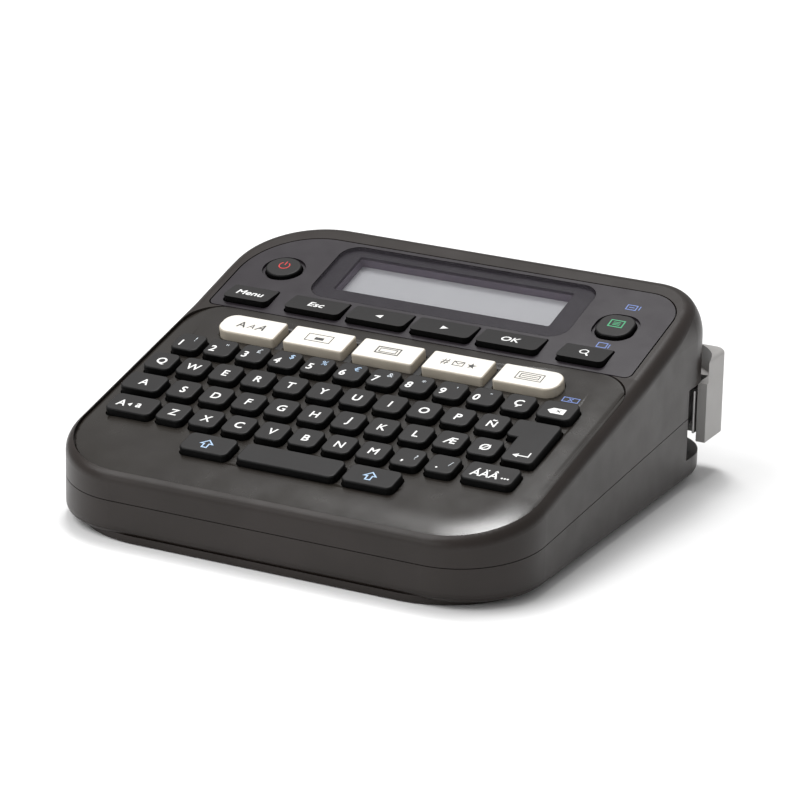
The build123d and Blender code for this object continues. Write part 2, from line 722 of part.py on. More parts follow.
def make_platen_gear():
    body = gear(PLATEN_AT, DRIVEN_TEETH, meshed_phase(PLATEN_DIRECTION, DRIVEN_TEETH), 0)
    return body + rod(PLATEN_AT, PIN_R, (5.6, GEAR_Z[0]))


def make_ribbon_drive():
    body = gear(RIBBON_AT, DRIVEN_TEETH, meshed_phase(RIBBON_DIRECTION, DRIVEN_TEETH), 0)
    shaft = rod(RIBBON_AT, 2.0, (6.0, GEAR_Z[0]))
    for n in range(3):
        fin = Pos(RIBBON_AT[0], RIBBON_AT[1], 13.5) * Rot(0, 0, 60 * n) * Box(5.4, 0.8, 12.0)
        shaft += fin
    return body + shaft


def make_motor():
    body = rod(PINION_AT, MOTOR_R, (4.6, CHASSIS_Z[0] - 0.1))
    body = body & box((0, FAR), (PINION_AT[1] - 7.6, PINION_AT[1] + 7.6), (0, FAR))
    return body - rod(PINION_AT, 1.0 + RUN, (11.0, FAR))


def make_mechanism_chassis():
    plate = box((-62.0, 72.0), (1.0, 61.0), CHASSIS_Z)
    plate += box((40.0, 48.0), (60.0, 70.0), CHASSIS_Z)
    plate -= rod(PINION_AT, 4.8, (0, FAR))
    plate -= rod(RIBBON_AT, 2.9, (0, FAR))
    plate -= rod(PLATEN_AT, PIN_R + RUN, (0, FAR))
    plate -= rod(PIVOT, PIN_R, (0, FAR))
    plate -= box((64.8, FAR), (NOTCH_FRONT_Y - 1, FAR), (0, FAR))
    for at in SCREWS:
        plate -= rod(at, SCREW_HEAD_R + 1.6, (0, FAR))
    plate += rod(IDLER_AT, PIN_R, (CHASSIS_Z[1], GEAR_Z[1] + 0.8))
    for at in CHASSIS_POSTS:
        plate += rod(at, CHASSIS_POST_R, (CASE_BOTTOM_Z + WALL, CHASSIS_Z[0]))
    return plate


def make_platen_roller():
    return rod(PLATEN_AT, PLATEN_R, (7.2, 21.8)) - rod(PLATEN_AT, PIN_R, (0, FAR))


def make_roller_holder():
    x = (PLATEN_AT[0] - 7.0, PLATEN_AT[0] + 7.0)
    wall_y = PLATEN_AT[1] - PLATEN_R - 2.2
    foot = box(x, (wall_y, PLATEN_AT[1] + 2.5), (4.2, 5.4)) + box(x, (wall_y, PLATEN_AT[1] + 2.5), (5.4, 6.8))
    foot -= rod(PLATEN_AT, PIN_R + RUN, (5.0, FAR))
    return foot + box(x, (wall_y, wall_y + 1.2), (4.2, CHASSIS_Z[0] - 0.1))


def make_print_head():
    y = PLATEN_AT[1] + PLATEN_R + 0.35
    head = box((PLATEN_AT[0] - 4.5, PLATEN_AT[0] + 4.5), (y, y + 1.0), (7.0, 21.5))
    sink = box((PLATEN_AT[0] - 6.0, PLATEN_AT[0] + 6.0), (y + 1.0, y + 2.6), (5.0, 23.0))
    ridge = Pos(PLATEN_AT[0], y, 14.3) * Cylinder(0.3, 13.0)
    return head + sink + ridge


# ---------------------------------------------------------------- cassette and power

def make_tape_cassette():
    shell = box(CASSETTE_X, CASSETTE_Y, CASSETTE_Z)
    shell = fillet(shell.edges().filter_by(Axis.Z), 4.0)
    w = CASSETTE_WALL
    shell -= box((CASSETTE_X[0] + w, CASSETTE_X[1] - w), (CASSETTE_Y[0] + w, CASSETTE_Y[1] - w),
                 (CASSETTE_Z[0] + w, CASSETTE_Z[1] - w))
    shell -= rod(RIBBON_AT, 3.6, (0, FAR))
    shell -= box((CASSETTE_X[1] - 3, FAR), (TAPE_Y - 1.0, TAPE_Y + 1.0), (7.5, 20.5))
    shell -= box((-48.0, -20.0), (12.0, 20.0), (0, CASSETTE_Z[0] + w + 0.5))
    return shell


def reel(at, radius, bore):
    return rod(at, radius, REEL_Z) - rod(at, bore, (0, FAR))


def make_cells():
    cells = []
    for n in range(CELL_COUNT):
        way = 1 if n % 2 else -1
        x = CELL_FIRST_X + CELL_PITCH * n
        lie = Pos(x, CELL_Y, CELL_Z) * Rot(90, 0, 0)
        nub = Pos(x, CELL_Y + way * (CELL_LENGTH / 2 + 0.4), CELL_Z) * Rot(90, 0, 0) * Cylinder(1.8, 0.8)
        cells.append(lie * Cylinder(CELL_R, CELL_LENGTH) + nub)
    return Compound(cells)


def make_battery_contacts():
    contacts = []
    for y in (CELL_Y - CELL_LENGTH / 2 - 1.3, CELL_Y + CELL_LENGTH / 2 + 1.0):
        for n in range(CELL_COUNT):
            x = CELL_FIRST_X + CELL_PITCH * n
            contacts.append(box((x - 4.0, x + 4.0), (y, y + 0.3), (5.4, 14.2)))
    return Compound(contacts)


def make_dc_jack():
    half = JACK_W / 2
    rear = REAR_Y - WALL - 0.2
    body = box(
        (JACK_AT[0] - half, JACK_AT[0] + half), (JACK_FRONT_Y, rear), (JACK_AT[1] - half, JACK_AT[1] + half))
    mouth = Pos(JACK_AT[0], rear, JACK_AT[1]) * Rot(90, 0, 0)
    return body - mouth * Cylinder(JACK_BORE_R, 18.0) + (body & mouth * Cylinder(JACK_PIN_R, 19.0))


# ---------------------------------------------------------------- write the parts

outer_form = body_form(0)
inner_form = body_form(WALL)

PARTS = {
    "top_case": make_top_case(outer_form, inner_form),
    "bottom_case": make_bottom_case(outer_form, inner_form),
    "back_cover": make_back_cover(),
    "rubber_feet": make_feet(),
    "case_screws": make_screws(),
    "keyboard_plate": make_keyboard_plate(outer_form),
    "display_panel": make_display_panel(outer_form),
    "lcd_lens": make_lcd_lens(),
    "lcd_frame": make_lcd_frame(),
    "lcd_module": make_lcd_module(),
    "keypad_membrane": make_keypad_membrane(),
    "key_board": make_key_board(),
    "panel_membrane": make_panel_membrane(),
    "main_board": make_main_board(),
    "flat_cable": make_flat_cable(),
    "tape_exit_frame": make_tape_exit_frame(),
    "cutter_lever": make_cutter_lever(),
    "cutter_blade": make_cutter_blade(),
    "lever_pin": make_lever_pin(),
    "lever_spring": make_lever_spring(),
    "mechanism_chassis": make_mechanism_chassis(),
    "motor": make_motor(),
    "motor_pinion": make_motor_pinion(),
    "idler_gear": make_idler_gear(),
    "platen_gear": make_platen_gear(),
    "platen_roller": make_platen_roller(),
    "roller_holder": make_roller_holder(),
    "print_head": make_print_head(),
    "ribbon_drive": make_ribbon_drive(),
    "tape_cassette": make_tape_cassette(),
    "tape_roll": reel(TAPE_ROLL_AT, 18.0, 8.0),
    "ribbon_supply": reel(SUPPLY_AT, 10.0, 3.0),
    "ribbon_takeup": reel(RIBBON_AT, 6.5, 2.9),
    "dry_cells": make_cells(),
    "battery_contacts": make_battery_contacts(),
    "dc_jack": make_dc_jack(),
    "power_button": cap(DISPLAY_FACE, power_outline, BUTTON_RISE),
    "print_button": cap(DISPLAY_FACE, print_outline, BUTTON_RISE),
}
for key_name, key_x in UPPER_KEYS.items():
    PARTS[key_name] = upper_cap(upper_key(key_x))
for key_name, key_plan in SINGLE_KEYS.items():
    PARTS[key_name] = cap(KEY_FACE, key_plan, KEY_RISE)
for key_name, key_plan in FUNCTION_KEYS.items():
    PARTS[key_name] = cap(KEY_FACE, key_plan, FUNCTION_RISE)
for row_name, key_plans in KEY_ROWS.items():
    PARTS[row_name] = Compound([cap(KEY_FACE, key_plan, KEY_RISE) for key_plan in key_plans])

for part_name, part_shape in PARTS.items():
    save(part_shape, part_name)
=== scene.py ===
import math

import bmesh
import bpy
from mathutils import Matrix, Vector


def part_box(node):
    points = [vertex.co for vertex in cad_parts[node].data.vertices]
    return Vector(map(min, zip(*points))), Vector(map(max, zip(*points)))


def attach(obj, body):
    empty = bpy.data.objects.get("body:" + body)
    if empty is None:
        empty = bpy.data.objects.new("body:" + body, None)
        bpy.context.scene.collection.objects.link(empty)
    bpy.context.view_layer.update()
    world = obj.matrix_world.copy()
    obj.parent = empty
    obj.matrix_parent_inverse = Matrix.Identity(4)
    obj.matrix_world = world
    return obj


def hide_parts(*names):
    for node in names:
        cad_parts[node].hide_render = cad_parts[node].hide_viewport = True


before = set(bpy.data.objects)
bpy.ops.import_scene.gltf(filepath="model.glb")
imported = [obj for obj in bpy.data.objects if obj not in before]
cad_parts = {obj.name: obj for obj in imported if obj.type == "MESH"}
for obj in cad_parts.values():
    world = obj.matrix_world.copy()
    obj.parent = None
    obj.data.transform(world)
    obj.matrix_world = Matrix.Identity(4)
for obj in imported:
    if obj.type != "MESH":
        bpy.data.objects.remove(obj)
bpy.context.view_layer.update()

# Desktop label maker. +X is the user's right, +Y points away from the user, +Z is up. Metres.
MM = 0.001

# ---- the two top slopes, as the CAD has them ----
KEY_SLOPE = 0.249
KEY_Z0 = 39.9 * MM
SEAM_Y = 17.5 * MM
DISPLAY_SLOPE = 0.30
SEAM_Z = KEY_Z0 + KEY_SLOPE * SEAM_Y
KEY_ANGLE = math.atan(KEY_SLOPE)
DISPLAY_ANGLE = math.atan(DISPLAY_SLOPE)

# ---- keys ----
KEY_W = 9.3 * MM
KEY_PITCH = 11.18 * MM
ROW_PITCH = 12.0 * MM
NUMBER_ROW_Y = -8.2 * MM
FUNCTION_ROW_Y = 4.6 * MM
KEY_RISE = 2.3 * MM
FUNCTION_RISE = 3.0 * MM
BUTTON_RISE = 0.9 * MM
FLANGE_OUT = 0.7 * MM
UPPER_KEY_Y = (20.0 * MM, 28.8 * MM)
WEDGE_FRONT = 2.2 * MM
WEDGE_BACK = 0.1 * MM
WEDGE_OVERRUN = 1.0 * MM

# ---- printed marks ----
INK_SUNK = 0.02 * MM
INK_PROUD = 0.03 * MM
LETTER = 4.3 * MM
SMALL_LETTER = 3.1 * MM
SLANT = 0.04
WEIGHT = 0.09 * MM
LINE = 0.42 * MM
FINE_LINE = 0.3 * MM
LETTER_STEPS = 3
MITRE_LEAST = 0.4


def slope_frame(y, z, angle):
    """A frame lying on a slope: X is the object's, Y runs up the slope and Z stands on it."""
    return Matrix.Translation((0, y, z)) @ Matrix.Rotation(angle, 4, "X")


KEY_FRAME = slope_frame(0, KEY_Z0, KEY_ANGLE)
DISPLAY_FRAME = slope_frame(SEAM_Y, SEAM_Z, DISPLAY_ANGLE)


def key_v(y):
    """Distance up the keyboard slope of a key whose top is over plan position y."""
    return y / math.cos(KEY_ANGLE) + KEY_RISE * math.sin(KEY_ANGLE)


def display_v(y):
    return (y - SEAM_Y) / math.cos(DISPLAY_ANGLE)


def row_v(row):
    return key_v(NUMBER_ROW_Y - ROW_PITCH * row)


def middle(node):
    low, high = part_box(node)
    return (low + high) / 2


# ---------------------------------------------------------------- camera

CAMERA_AT = Vector((0.5208, -1.0067, 0.4207))
CAMERA_TARGET = Vector((0.00625, -0.0025, 0.03192))
CAMERA_ROLL = math.radians(1.146)
CAMERA_LENS = 179.35
SENSOR_W = 36.0
CLIP_START = 0.05


def make_camera():
    data = bpy.data.cameras.new("camera")
    data.lens = CAMERA_LENS
    data.sensor_width = SENSOR_W
    data.clip_start = CLIP_START
    camera = bpy.data.objects.new("camera", data)
    aim = (CAMERA_TARGET - CAMERA_AT).to_track_quat("-Z", "Y").to_matrix().to_4x4()
    camera.matrix_world = Matrix.Translation(CAMERA_AT) @ aim @ Matrix.Rotation(CAMERA_ROLL, 4, "Z")
    bpy.context.scene.collection.objects.link(camera)
    bpy.context.scene.camera = camera


# ---------------------------------------------------------------- materials

# Scales of the noises and cells, per metre.
MOTTLE_SCALE = 45.0
GLOSS_SCALE = 120.0
PLASTIC_GRAIN = 2600.0
KEY_GRAIN = 3400.0
INK_GRAIN = 5000.0
TAPE_GRAIN = 900.0
BOARD_GRAIN = 1500.0
RUBBER_SKIN, RUBBER_GLOSS = 1300.0, 200.0
TARNISH, METAL_GLOSS, SCRATCHES = 90.0, 300.0, 400.0
LENS_CLOUDS, LENS_SMUDGES, LENS_RIPPLE = 60.0, 150.0, 900.0
LCD_DOTS, LCD_GLOSS = 1500.0, 80.0

# Parts of a noise's or a cell's range over which a colour or a number changes.
NOISE_MIDDLE = (0.3, 0.7)
MOTTLE_RANGE = (0.35, 0.65)
RUBBER_RANGE = (0.1, 0.8)
LCD_RANGE = (0.0, 0.9)

# Strengths and depths of the bumps.
GRAIN_STRENGTH = 0.25
GRAIN_DEPTH = 0.02 * MM
INK_GRAIN_DEPTH = 0.01 * MM
RUBBER_BUMP = (0.4, 0.05 * MM)
SCRATCH_BUMP = (0.2, 0.01 * MM)
LENS_BUMP = (0.05, 0.005 * MM)
LCD_BUMP = (0.05, 0.01 * MM)

NOISE_DETAIL = 4.0
SCRATCH_STRETCH = (1.0, 14.0, 14.0)
LENS_ALPHA = 0.22
PLAIN_SPECULAR = 0.4
# Share of the light end of a colour that its mottling falls to.
TOP_SHADE = 0.92
INK_SHADE = 0.88
# Where a key's rounded edge goes from the painted shade of the flank to the top's colour, as the cosine to
# the slope.
EDGE_COSINES = (0.80, 0.97)


def new_material(name):
    material = bpy.data.materials.new(name)
    material.use_nodes = True
    shader = material.node_tree.nodes["Principled BSDF"]
    place = material.node_tree.nodes.new("ShaderNodeTexCoord")
    return material, shader, place.outputs["Object"]


def noise(material, place, scale):
    node = material.node_tree.nodes.new("ShaderNodeTexNoise")
    node.inputs["Scale"].default_value = scale
    node.inputs["Detail"].default_value = NOISE_DETAIL
    material.node_tree.links.new(place, node.inputs["Vector"])
    return node.outputs["Fac"]


def cells(material, place, scale):
    node = material.node_tree.nodes.new("ShaderNodeTexVoronoi")
    node.inputs["Scale"].default_value = scale
    material.node_tree.links.new(place, node.inputs["Vector"])
    return node.outputs["Distance"]


def ramp(material, value, low, high, first, last):
    """Colour that goes from first to last as value goes from low to high."""
    node = material.node_tree.nodes.new("ShaderNodeValToRGB")
    node.color_ramp.elements[0].position = low
    node.color_ramp.elements[1].position = high
    node.color_ramp.elements[0].color = (*first, 1)
    node.color_ramp.elements[1].color = (*last, 1)
    material.node_tree.links.new(value, node.inputs["Fac"])
    return node.outputs["Color"]


def spread(material, value, low, high):
    """Number that goes from low to high over the middle of a noise."""
    node = material.node_tree.nodes.new("ShaderNodeMapRange")
    node.inputs["From Min"].default_value, node.inputs["From Max"].default_value = NOISE_MIDDLE
    node.inputs["To Min"].default_value = low
    node.inputs["To Max"].default_value = high
    material.node_tree.links.new(value, node.inputs["Value"])
    return node.outputs["Result"]


def feed(material, value, socket):
    """Links a value that varies over the surface to a socket of the material's shader."""
    shader = material.node_tree.nodes["Principled BSDF"]
    material.node_tree.links.new(value, shader.inputs[socket])


def bump(material, height, strength, depth):
    node = material.node_tree.nodes.new("ShaderNodeBump")
    node.inputs["Strength"].default_value = strength
    node.inputs["Distance"].default_value = depth
    material.node_tree.links.new(height, node.inputs["Height"])
    feed(material, node.outputs["Normal"], "Normal")


def moulded(name, dark, light, rough, grain=PLASTIC_GRAIN, grain_depth=GRAIN_DEPTH,
            specular=PLAIN_SPECULAR):
    """Moulded plastic: slow mottling in the colour, patches in the gloss, and a fine eroded grain."""
    material, shader, place = new_material(name)
    mottling = noise(material, place, MOTTLE_SCALE)
    feed(material, ramp(material, mottling, *MOTTLE_RANGE, dark, light), "Base Color")
    feed(material, spread(material, noise(material, place, GLOSS_SCALE), *rough), "Roughness")
    bump(material, noise(material, place, grain), GRAIN_STRENGTH, grain_depth)
    shader.inputs["Specular IOR Level"].default_value = specular
    return material


def body_plastic():
    return moulded("body_plastic", (0.015, 0.011, 0.009), (0.020, 0.015, 0.013), (0.32, 0.40),
                   specular=0.31)


def plate_plastic():
    return moulded("plate_plastic", (0.017, 0.014, 0.012), (0.021, 0.018, 0.015), (0.22, 0.28),
                   specular=0.5)


def panel_plastic():
    return moulded("panel_plastic", (0.016, 0.012, 0.016), (0.020, 0.016, 0.020), (0.30, 0.38))


def facing_up(material):
    """Cosine between a face and the keyboard slope: 1 on key tops and about 0 on their flanks."""
    place = material.node_tree.nodes["Texture Coordinate"]
    dot = material.node_tree.nodes.new("ShaderNodeVectorMath")
    dot.operation = "DOT_PRODUCT"
    dot.inputs[1].default_value = (0, -math.sin(KEY_ANGLE), math.cos(KEY_ANGLE))
    material.node_tree.links.new(place.outputs["Normal"], dot.inputs[0])
    return dot.outputs["Value"]


def shade_painted_flanks(name, shaded_flank, top, rough, specular=PLAIN_SPECULAR):
    """Key moulding: a spark-eroded top, with painted shade on the flanks, which are coloured darker than
    the top.
    """
    material = moulded(name, tuple(c * TOP_SHADE for c in top), top, rough, KEY_GRAIN, specular=specular)
    shader = material.node_tree.nodes["Principled BSDF"]
    links = material.node_tree.links
    mottled = shader.inputs["Base Color"].links[0].from_socket
    # Faces that turn away from the slope take the flank colour, which is painted shade.
    mix = material.node_tree.nodes.new("ShaderNodeMix")
    mix.data_type = "RGBA"
    mix.inputs["A"].default_value = (*shaded_flank, 1)
    rise = material.node_tree.nodes.new("ShaderNodeMapRange")
    rise.inputs["From Min"].default_value, rise.inputs["From Max"].default_value = EDGE_COSINES
    links.new(facing_up(material), rise.inputs["Value"])
    links.new(rise.outputs["Result"], mix.inputs["Factor"])
    links.new(mottled, mix.inputs["B"])
    feed(material, mix.outputs["Result"], "Base Color")
    return material


def key_plastic():
    # The first colour is painted shade on the nearly black key flanks.
    return shade_painted_flanks("key_plastic", (0.001, 0.001, 0.001), (0.021, 0.020, 0.020), (0.42, 0.52),
                    specular=0.2)


def black_plastic():
    return moulded("black_plastic", (0.010, 0.010, 0.011), (0.014, 0.014, 0.015), (0.35, 0.5))


def cream_plastic():
    # The first colour is painted shade on the darker cream flanks.
    return shade_painted_flanks("cream_plastic", (0.50, 0.45, 0.37), (0.80, 0.77, 0.71), (0.35, 0.45))


def lever_grey():
    return moulded("lever_grey", (0.34, 0.33, 0.32), (0.39, 0.38, 0.37), (0.40, 0.5))


def exit_grey():
    return moulded("exit_grey", (0.20, 0.20, 0.20), (0.24, 0.24, 0.24), (0.45, 0.55))


def recess_plastic():
    """Violet-grey walls round the display, below the lens."""
    return moulded("recess_plastic", (0.15, 0.125, 0.16), (0.18, 0.15, 0.19), (0.4, 0.5))


def cassette_plastic():
    return moulded("cassette_plastic", (0.30, 0.31, 0.33), (0.36, 0.37, 0.39), (0.3, 0.4))


def gear_white():
    return moulded("gear_white", (0.70, 0.70, 0.68), (0.76, 0.76, 0.74), (0.35, 0.45))


def tape_white():
    return moulded("tape_white", (0.78, 0.78, 0.76), (0.84, 0.84, 0.82), (0.4, 0.5), TAPE_GRAIN)


def cable_white():
    return moulded("cable_white", (0.70, 0.72, 0.74), (0.78, 0.79, 0.80), (0.4, 0.5))


def ribbon_black():
    return moulded("ribbon_black", (0.012, 0.012, 0.013), (0.02, 0.02, 0.021), (0.25, 0.35))


def cell_jacket():
    return moulded("cell_jacket", (0.06, 0.10, 0.16), (0.08, 0.13, 0.20), (0.25, 0.35))


def board_green():
    return moulded("board_green", (0.015, 0.09, 0.035), (0.025, 0.12, 0.05), (0.3, 0.45), BOARD_GRAIN)


def black_rubber():
    """Soft rubber: dull, with a coarser skin and dust in its hollows."""
    material, _, place = new_material("black_rubber")
    skin = cells(material, place, RUBBER_SKIN)
    dusty = ramp(material, skin, *RUBBER_RANGE, (0.012, 0.012, 0.012), (0.03, 0.03, 0.029))
    feed(material, dusty, "Base Color")
    feed(material, spread(material, noise(material, place, RUBBER_GLOSS), 0.7, 0.85), "Roughness")
    bump(material, skin, *RUBBER_BUMP)
    return material


def metal(name, dark, light, rough):
    """Bare metal with fine scratches along one way and slow tarnish."""
    material, shader, place = new_material(name)
    shader.inputs["Metallic"].default_value = 1.0
    stretch = material.node_tree.nodes.new("ShaderNodeMapping")
    stretch.inputs["Scale"].default_value = SCRATCH_STRETCH
    material.node_tree.links.new(place, stretch.inputs["Vector"])
    tarnish = noise(material, place, TARNISH)
    feed(material, ramp(material, tarnish, *NOISE_MIDDLE, dark, light), "Base Color")
    feed(material, spread(material, noise(material, place, METAL_GLOSS), *rough), "Roughness")
    bump(material, noise(material, stretch.outputs["Vector"], SCRATCHES), *SCRATCH_BUMP)
    return material


def steel():
    return metal("steel", (0.50, 0.50, 0.51), (0.60, 0.60, 0.61), (0.25, 0.4))


def blade_steel():
    """Hardened steel with a dull ground face."""
    return metal("blade_steel", (0.34, 0.335, 0.33), (0.40, 0.395, 0.39), (0.45, 0.6))


def aluminium():
    return metal("aluminium", (0.70, 0.70, 0.71), (0.80, 0.80, 0.81), (0.3, 0.45))


def brass():
    return metal("brass", (0.62, 0.45, 0.20), (0.72, 0.54, 0.26), (0.25, 0.4))


def tinted_window():
    """Smoked lens over the display: faintly tinted and glossy, with the odd smudge."""
    material, shader, place = new_material("tinted_window")
    shader.inputs["Alpha"].default_value = LENS_ALPHA
    clouds = noise(material, place, LENS_CLOUDS)
    tint = ramp(material, clouds, *NOISE_MIDDLE, (0.030, 0.026, 0.034), (0.040, 0.035, 0.044))
    feed(material, tint, "Base Color")
    feed(material, spread(material, noise(material, place, LENS_SMUDGES), 0.10, 0.2), "Roughness")
    bump(material, noise(material, place, LENS_RIPPLE), *LENS_BUMP)
    return material


def lcd_grey():
    """Reflective display glass: pale grey, with the faint lattice of its dots."""
    material, _, place = new_material("lcd_grey")
    lattice = cells(material, place, LCD_DOTS)
    dots = ramp(material, lattice, *LCD_RANGE, (0.72, 0.73, 0.76), (0.78, 0.79, 0.82))
    feed(material, dots, "Base Color")
    feed(material, spread(material, noise(material, place, LCD_GLOSS), 0.35, 0.45), "Roughness")
    bump(material, lattice, *LCD_BUMP)
    return material


def ink(name, colour):
    """Screen-printed ink: slightly uneven in tone and a little rough."""
    shade = tuple(c * INK_SHADE for c in colour)
    return moulded(name, shade, colour, (0.45, 0.6), INK_GRAIN, INK_GRAIN_DEPTH)


WHITE_INK = ink("white_ink", (0.85, 0.85, 0.84))
BLUE_INK = ink("blue_ink", (0.16, 0.24, 0.55))
PALE_BLUE_INK = ink("pale_blue_ink", (0.42, 0.58, 0.78))
PALE_INK = ink("pale_ink", (0.58, 0.62, 0.66))
RED_INK = ink("red_ink", (0.55, 0.03, 0.03))
GREEN_INK = ink("green_ink", (0.05, 0.35, 0.16))
DARK_INK = ink("dark_ink", (0.05, 0.05, 0.05))

FINISHES = [
    (body_plastic, ["top_case", "bottom_case", "back_cover"]),
    (panel_plastic, ["display_panel"]),
    (key_plastic, [
        "number_row_keys", "upper_letter_keys", "home_letter_keys", "lower_letter_keys", "backspace_key",
        "enter_key", "caps_key", "accent_key", "left_shift_key", "space_key", "right_shift_key", "menu_key",
        "escape_key", "left_key", "right_key", "ok_key", "preview_key", "power_button", "print_button"]),
    (cream_plastic, ["style_key", "layout_key", "frame_key", "symbol_key", "label_type_key"]),
    (recess_plastic, ["lcd_frame"]),
    (black_plastic, ["dc_jack", "roller_holder"]),
    (black_rubber, ["rubber_feet", "keypad_membrane", "panel_membrane", "platen_roller"]),
    (lever_grey, ["cutter_lever"]),
    (exit_grey, ["tape_exit_frame"]),
    (cassette_plastic, ["tape_cassette"]),
    (tinted_window, ["lcd_lens"]),
    (lcd_grey, ["lcd_module"]),
    (board_green, ["key_board", "main_board"]),
    (cable_white, ["flat_cable"]),
    (gear_white, ["motor_pinion", "idler_gear", "platen_gear", "ribbon_drive"]),
    (tape_white, ["tape_roll"]),
    (ribbon_black, ["ribbon_supply", "ribbon_takeup"]),
    (cell_jacket, ["dry_cells"]),
    (blade_steel, ["cutter_blade"]),
    (steel, ["lever_pin", "lever_spring", "case_screws", "motor"]),
    (aluminium, ["mechanism_chassis", "print_head"]),
    (brass, ["battery_contacts"]),
]


def paint(node, material):
    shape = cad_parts[node]
    if not shape.material_slots:
        shape.data.materials.append(material)
    for place in shape.material_slots:
        place.material = material


# ---------------------------------------------------------------- printed marks

def bolder(points, faces, amount):
    """Moves the outline of a filled shape outwards, so that its strokes grow by twice the amount."""
    sides = {(face[n - 1], face[n]) for face in faces for n in range(len(face))}
    away = [Vector((0, 0)) for _ in points]
    for first, last in sorted(sides):
        if (last, first) not in sides:
            along = (Vector(points[last]) - Vector(points[first])).normalized()
            for n in (first, last):
                away[n] += Vector((along.y, -along.x))
    return [tuple(Vector(p) + a.normalized() * amount) for p, a in zip(points, away)]


def words(text, size, at, material, slant=SLANT, weight=WEIGHT):
    """Lettering whose printed extent is centred on a point of a face."""
    curve = bpy.data.curves.new("lettering", "FONT")
    curve.body = text
    curve.size = size
    curve.shear = slant
    curve.align_x = "CENTER"
    curve.align_y = "CENTER"
    curve.resolution_u = LETTER_STEPS
    letters = bpy.data.objects.new("lettering", curve)
    bpy.context.scene.collection.objects.link(letters)
    bpy.context.view_layer.update()
    shape = letters.evaluated_get(bpy.context.evaluated_depsgraph_get()).to_mesh()
    across = [v.co.x for v in shape.vertices]
    up = [v.co.y for v in shape.vertices]
    shift = (at[0] - (min(across) + max(across)) / 2, at[1] - (min(up) + max(up)) / 2)
    points = [(shift[0] + v.co.x, shift[1] + v.co.y) for v in shape.vertices]
    faces = [tuple(p.vertices) for p in shape.polygons]
    bpy.data.objects.remove(letters)
    bpy.data.curves.remove(curve)
    return bolder(points, faces, weight), faces, material


def patch(points, at, material):
    """A filled shape with its outline round a point."""
    return [(at[0] + x, at[1] + y) for x, y in points], [tuple(range(len(points)))], material


def path(points, at, material, width=LINE, closed=False):
    """A line of even width through points, mitred at its corners."""
    count = len(points)
    left, right = [], []
    for n, point in enumerate(points):
        before = Vector(points[n - 1]) if (n or closed) else None
        after = Vector(points[(n + 1) % count]) if (n < count - 1 or closed) else None
        here = Vector(point)
        ways = []
        if before is not None:
            ways.append((here - before).normalized())
        if after is not None:
            ways.append((after - here).normalized())
        way = sum(ways, Vector((0, 0))).normalized()
        side = Vector((-way.y, way.x))
        reach = width / 2 / max(side.dot(Vector((-ways[0].y, ways[0].x))), MITRE_LEAST)
        left.append(here + side * reach)
        right.append(here - side * reach)
    outline = [(at[0] + p.x, at[1] + p.y) for p in left + right]
    last = count if closed else count - 1
    faces = [(n, count + n, count + (n + 1) % count, (n + 1) % count) for n in range(last)]
    return outline, faces, material


def arc(radius, start, end, steps=20):
    """Points round the origin between two angles in degrees."""
    points = []
    for n in range(steps + 1):
        angle = math.radians(start + (end - start) * n / steps)
        points.append((radius * math.cos(angle), radius * math.sin(angle)))
    return points


def rectangle(w, h):
    return [(-w / 2, -h / 2), (w / 2, -h / 2), (w / 2, h / 2), (-w / 2, h / 2)]


def thicken(mesh, height):
    """Turns the flat faces of a mesh into closed solids of a height."""
    bmesh.ops.recalc_face_normals(mesh, faces=mesh.faces)
    grown = bmesh.ops.extrude_face_region(mesh, geom=mesh.faces[:])
    top = [g for g in grown["geom"] if isinstance(g, bmesh.types.BMVert)]
    bmesh.ops.translate(mesh, verts=top, vec=(0, 0, height))
    bmesh.ops.recalc_face_normals(mesh, faces=mesh.faces)


def piece_from(mesh, name, materials):
    """A piece in the scene made from a finished mesh."""
    data = bpy.data.meshes.new(name)
    mesh.to_mesh(data)
    mesh.free()
    for material in materials:
        data.materials.append(material)
    piece = bpy.data.objects.new(name, data)
    bpy.context.scene.collection.objects.link(piece)
    return piece


def printed(name, body, face, marks):
    """Joins marks into one thin piece of ink on a face, which rides on a body."""
    mesh = bmesh.new()
    inks = []
    for points, faces, material in marks:
        if material not in inks:
            inks.append(material)
        corners = [mesh.verts.new((x, y, -INK_SUNK)) for x, y in points]
        for indices in faces:
            surface = mesh.faces.new([corners[i] for i in indices])
            surface.material_index = inks.index(material)
    thicken(mesh, INK_SUNK + INK_PROUD)
    piece = piece_from(mesh, name, inks)
    piece.matrix_world = face
    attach(piece, body)


def key_top(v, rise):
    return KEY_FRAME @ Matrix.Translation((0, v, rise))


# ---- the four rows of small keys: main mark and second mark of each key, from the left ----
ROWS = [
    ("number_row_keys", ["1", "2", "3", "4", "5", "6", "7", "8", "9", "0", "Ç"],
     ["!", "\"", "£", "$", "%", "€", "&", "*", "'", "-", ""]),
    ("upper_letter_keys", list("QWERTYUIOP") + ["Ñ"], [""] * 11),
    ("home_letter_keys", list("SDFGHJKL") + ["Æ", "Ø"], [""] * 10),
    ("lower_letter_keys", list("ZXCVBNM") + [",", "."], [""] * 7 + ["?", "/"]),
]
LETTER_AT = (0.2 * MM, -0.4 * MM)
DIGIT_AT = (-2.1 * MM, -1.1 * MM)
DIGIT_MARK_AT = (1.5 * MM, 1.8 * MM)
STOP_AT = (-1.0 * MM, -2.2 * MM)
STOP_MARK_AT = (2.4 * MM, 0.5 * MM)
BLUISH_MARKS = "$%€"
WIDE_A_W = 13.2 * MM


